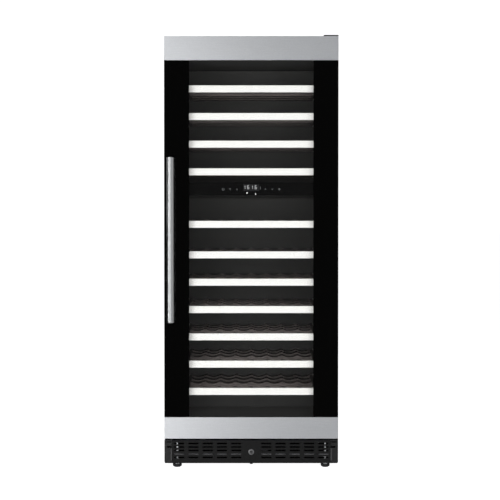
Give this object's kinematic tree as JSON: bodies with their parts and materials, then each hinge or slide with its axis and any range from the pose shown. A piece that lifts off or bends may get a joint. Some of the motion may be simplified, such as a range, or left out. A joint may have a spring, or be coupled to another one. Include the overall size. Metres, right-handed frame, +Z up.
{
  "type": "wine cooler",
  "caption": "Tall dual-zone wine cooler: right-hinged glass door with brushed steel trims and a bar handle, pull-out wooden shelves, touch panel, and a vented plinth with a key lock.",
  "frame": {"origin": "on the floor, under the middle of the bounding box", "axes": "+Z up, -Y towards someone facing the door, +X to their right"},
  "size_m": [0.595, 0.635, 1.482],
  "materials": {
    "black_steel": "satin",
    "grey_steel": "satin",
    "liner_plastic": "satin",
    "foam": "matte",
    "gloss_black": "gloss",
    "light_diffuser": "satin",
    "zinc_steel": "satin",
    "black_plastic": "matte",
    "black_plastic_frame": "satin",
    "chromed_metal": "polished",
    "bare_aluminium": "satin",
    "grey_plastic": "matte",
    "copper": "satin",
    "brushed_steel": "satin",
    "strip_steel": "satin",
    "clear_glass": "gloss",
    "black_spacer": "satin",
    "black_rubber": "matte",
    "white_nylon": "satin",
    "foot_steel": "satin",
    "dark_wood": "satin"
  },
  "bodies": {
    "cabinet": {"outer_case": "black_steel", "rear_panel": "grey_steel", "base_pan": "black_steel", "inner_liner": "liner_plastic", "insulation": "foam", "zone_divider": "liner_plastic", "control_panel": "gloss_black", "duct_covers": "liner_plastic", "light_bars": "light_diffuser", "shelf_runners": "zinc_steel", "hinge_brackets": "black_steel", "cabinet_screws": "zinc_steel", "mains_inlet": "black_plastic", "kick_plate": "black_plastic", "lock_body": "chromed_metal", "evaporators": "bare_aluminium", "condenser": "bare_aluminium", "compressor": "black_steel", "drip_tray": "grey_plastic", "refrigerant_pipes": "copper", "fan_motors": "black_plastic"},
    "door": {"door_frame": "black_plastic_frame", "door_trims": "brushed_steel", "glass_outer": "clear_glass", "glass_inner": "clear_glass", "glass_spacer": "black_spacer", "door_gasket": "black_rubber", "hinge_bushes": "white_nylon", "handle_bar": "brushed_steel", "handle_posts": "brushed_steel"},
    "lock": {"lock_plug": "chromed_metal"},
    "shelf_1": {"shelf_rack_1": "dark_wood", "shelf_trim_1": "strip_steel"},
    "shelf_2": {"shelf_rack_2": "dark_wood", "shelf_trim_2": "strip_steel"},
    "shelf_3": {"shelf_rack_3": "dark_wood", "shelf_trim_3": "strip_steel"},
    "shelf_4": {"shelf_rack_4": "dark_wood", "shelf_trim_4": "strip_steel"},
    "shelf_5": {"shelf_rack_5": "dark_wood", "shelf_trim_5": "strip_steel"},
    "shelf_6": {"shelf_rack_6": "dark_wood", "shelf_trim_6": "strip_steel"},
    "shelf_7": {"shelf_rack_7": "dark_wood", "shelf_trim_7": "strip_steel"},
    "shelf_8": {"shelf_rack_8": "dark_wood", "shelf_trim_8": "strip_steel"},
    "shelf_9": {"shelf_rack_9": "dark_wood", "shelf_trim_9": "strip_steel"},
    "shelf_10": {"shelf_rack_10": "dark_wood", "shelf_trim_10": "strip_steel"},
    "shelf_11": {"shelf_rack_11": "dark_wood", "shelf_trim_11": "strip_steel"},
    "foot_front_left": {"foot_front_left": "foot_steel"},
    "foot_front_right": {"foot_front_right": "foot_steel"},
    "foot_rear_left": {"foot_rear_left": "foot_steel"},
    "foot_rear_right": {"foot_rear_right": "foot_steel"},
    "fan_rotor_upper": {"fan_rotor_upper": "black_plastic"},
    "fan_rotor_lower": {"fan_rotor_lower": "black_plastic"},
    "condenser_fan_rotor": {"condenser_fan_rotor": "black_plastic"}
  },
  "joints": [
    {"name": "door_hinge", "type": "hinge", "parent": "cabinet", "child": "door", "pos_m": [0.285, -0.2395, 0.79], "axis": [0, 0, 1], "range_deg": [0, 115]},
    {"name": "lock_turn", "type": "hinge", "parent": "cabinet", "child": "lock", "pos_m": [0, -0.2265, 0.056], "axis": [0, -1, 0], "range_deg": [0, 90]},
    {"name": "shelf_1_slide", "type": "slide", "parent": "cabinet", "child": "shelf_1", "axis": [0, -1, 0], "range_m": [0, 0.3]},
    {"name": "shelf_2_slide", "type": "slide", "parent": "cabinet", "child": "shelf_2", "axis": [0, -1, 0], "range_m": [0, 0.3]},
    {"name": "shelf_3_slide", "type": "slide", "parent": "cabinet", "child": "shelf_3", "axis": [0, -1, 0], "range_m": [0, 0.3]},
    {"name": "shelf_4_slide", "type": "slide", "parent": "cabinet", "child": "shelf_4", "axis": [0, -1, 0], "range_m": [0, 0.3]},
    {"name": "shelf_5_slide", "type": "slide", "parent": "cabinet", "child": "shelf_5", "axis": [0, -1, 0], "range_m": [0, 0.3]},
    {"name": "shelf_6_slide", "type": "slide", "parent": "cabinet", "child": "shelf_6", "axis": [0, -1, 0], "range_m": [0, 0.3]},
    {"name": "shelf_7_slide", "type": "slide", "parent": "cabinet", "child": "shelf_7", "axis": [0, -1, 0], "range_m": [0, 0.3]},
    {"name": "shelf_8_slide", "type": "slide", "parent": "cabinet", "child": "shelf_8", "axis": [0, -1, 0], "range_m": [0, 0.3]},
    {"name": "shelf_9_slide", "type": "slide", "parent": "cabinet", "child": "shelf_9", "axis": [0, -1, 0], "range_m": [0, 0.3]},
    {"name": "shelf_10_slide", "type": "slide", "parent": "cabinet", "child": "shelf_10", "axis": [0, -1, 0], "range_m": [0, 0.3]},
    {"name": "shelf_11_slide", "type": "slide", "parent": "cabinet", "child": "shelf_11", "axis": [0, -1, 0], "range_m": [0, 0.3]},
    {"name": "foot_front_left_screw", "type": "slide", "parent": "cabinet", "child": "foot_front_left", "axis": [0, 0, 1], "range_m": [-0.025, 0]},
    {"name": "foot_front_right_screw", "type": "slide", "parent": "cabinet", "child": "foot_front_right", "axis": [0, 0, 1], "range_m": [-0.025, 0]},
    {"name": "foot_rear_left_screw", "type": "slide", "parent": "cabinet", "child": "foot_rear_left", "axis": [0, 0, 1], "range_m": [-0.025, 0]},
    {"name": "foot_rear_right_screw", "type": "slide", "parent": "cabinet", "child": "foot_rear_right", "axis": [0, 0, 1], "range_m": [-0.025, 0]},
    {"name": "fan_rotor_upper_spin", "type": "hinge", "parent": "cabinet", "child": "fan_rotor_upper", "pos_m": [0, 0.235, 1.215], "axis": [0, -1, 0], "continuous": true},
    {"name": "fan_rotor_lower_spin", "type": "hinge", "parent": "cabinet", "child": "fan_rotor_lower", "pos_m": [0, 0.235, 0.605], "axis": [0, -1, 0], "continuous": true},
    {"name": "condenser_fan_rotor_spin", "type": "hinge", "parent": "cabinet", "child": "condenser_fan_rotor", "pos_m": [0.12, 0.1275, 0.0775], "axis": [0, -1, 0], "continuous": true}
  ],
  "couplings": [
    {"joint": "shelf_1_slide", "follows": "door_hinge", "m_per_rad": 0.06},
    {"joint": "shelf_2_slide", "follows": "door_hinge", "m_per_rad": 0.06},
    {"joint": "shelf_3_slide", "follows": "door_hinge", "m_per_rad": 0.06},
    {"joint": "shelf_4_slide", "follows": "door_hinge", "m_per_rad": 0.06},
    {"joint": "shelf_5_slide", "follows": "door_hinge", "m_per_rad": 0.06},
    {"joint": "shelf_6_slide", "follows": "door_hinge", "m_per_rad": 0.06},
    {"joint": "shelf_7_slide", "follows": "door_hinge", "m_per_rad": 0.06},
    {"joint": "shelf_8_slide", "follows": "door_hinge", "m_per_rad": 0.06},
    {"joint": "shelf_9_slide", "follows": "door_hinge", "m_per_rad": 0.06},
    {"joint": "shelf_10_slide", "follows": "door_hinge", "m_per_rad": 0.06},
    {"joint": "shelf_11_slide", "follows": "door_hinge", "m_per_rad": 0.06}
  ]
}
